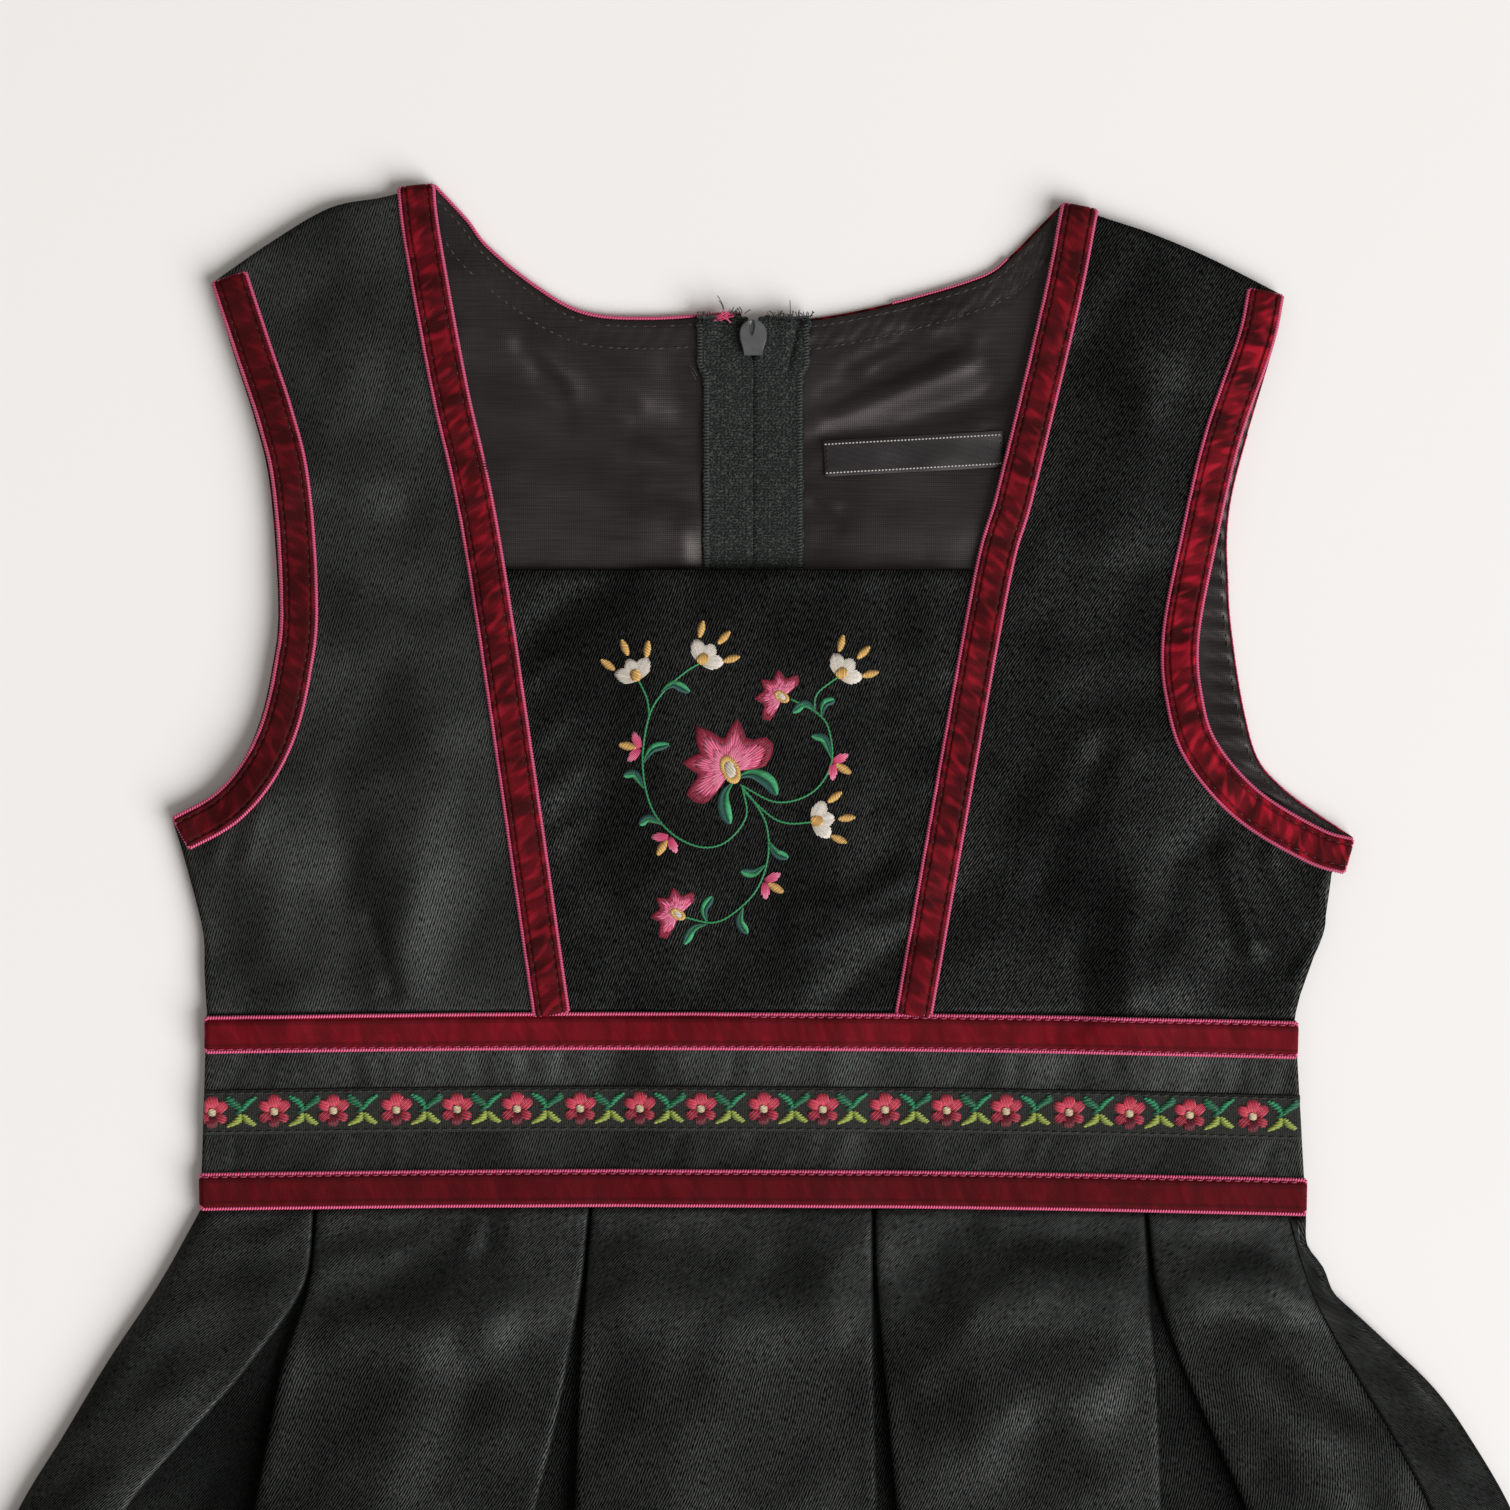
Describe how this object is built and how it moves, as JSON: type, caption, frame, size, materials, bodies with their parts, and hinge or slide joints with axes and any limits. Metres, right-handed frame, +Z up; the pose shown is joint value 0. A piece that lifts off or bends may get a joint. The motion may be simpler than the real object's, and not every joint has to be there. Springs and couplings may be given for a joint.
{
  "type": "child's festive folk dress (bunad style), laid flat",
  "caption": "Sleeveless child's folk dress laid flat and face up, with bib, velvet ribbons, flowered waistband and box-pleated skirt.",
  "frame": {"origin": "middle of the whole outline, on the surface that the dress lies on", "axes": "+Y from the hem to the shoulders, +X to the right of someone looking down on the dress, +Z up out of the surface"},
  "size_m": [0.5945, 0.6504, 0.0118],
  "materials": {
    "satin": "black twill-faced satin with a soft sheen",
    "lining": "thin plain lining, brownish black",
    "velvet": "dark red velvet ribbon with raspberry looped edges",
    "flower_ribbon": "black woven ribbon with red flowers and green sprigs",
    "zip_tape": "knitted zip tape, black",
    "label": "black woven satin label, bare",
    "gunmetal": "dark gunmetal, semi-gloss"
  },
  "bodies": {
    "dress": {"armhole_ribbon_left": "velvet", "armhole_ribbon_right": "velvet", "back_armhole_ribbon_left": "velvet", "back_armhole_ribbon_right": "velvet", "back_lining_left": "lining", "back_lining_right": "lining", "back_neck_ribbon_left": "velvet", "back_neck_ribbon_right": "velvet", "back_panel_left": "satin", "back_panel_right": "satin", "bib": "satin", "flower_ribbon_back_left": "flower_ribbon", "flower_ribbon_back_right": "flower_ribbon", "flower_ribbon_front": "flower_ribbon", "front_panel_left": "satin", "front_panel_right": "satin", "label": "label", "lower_ribbon_back_left": "velvet", "lower_ribbon_back_right": "velvet", "lower_ribbon_front": "velvet", "neck_ribbon_left": "velvet", "neck_ribbon_right": "velvet", "skirt_back_left": "satin", "skirt_back_right": "satin", "skirt_front": "satin", "upper_ribbon_back_left": "velvet", "upper_ribbon_back_right": "velvet", "upper_ribbon_front": "velvet", "waistband_back_left": "satin", "waistband_back_right": "satin", "waistband_front": "satin", "zip_slider": "gunmetal", "zip_tape_left": "zip_tape", "zip_tape_right": "zip_tape"},
    "pull_tab": {"zip_pull": "gunmetal"}
  },
  "joints": [
    {"name": "pull_tab_hinge", "type": "hinge", "parent": "dress", "child": "pull_tab", "pos_m": [-0.0005, 0.2855, 0.00045], "axis": [1, 0, 0], "range_deg": [0, 160]}
  ]
}
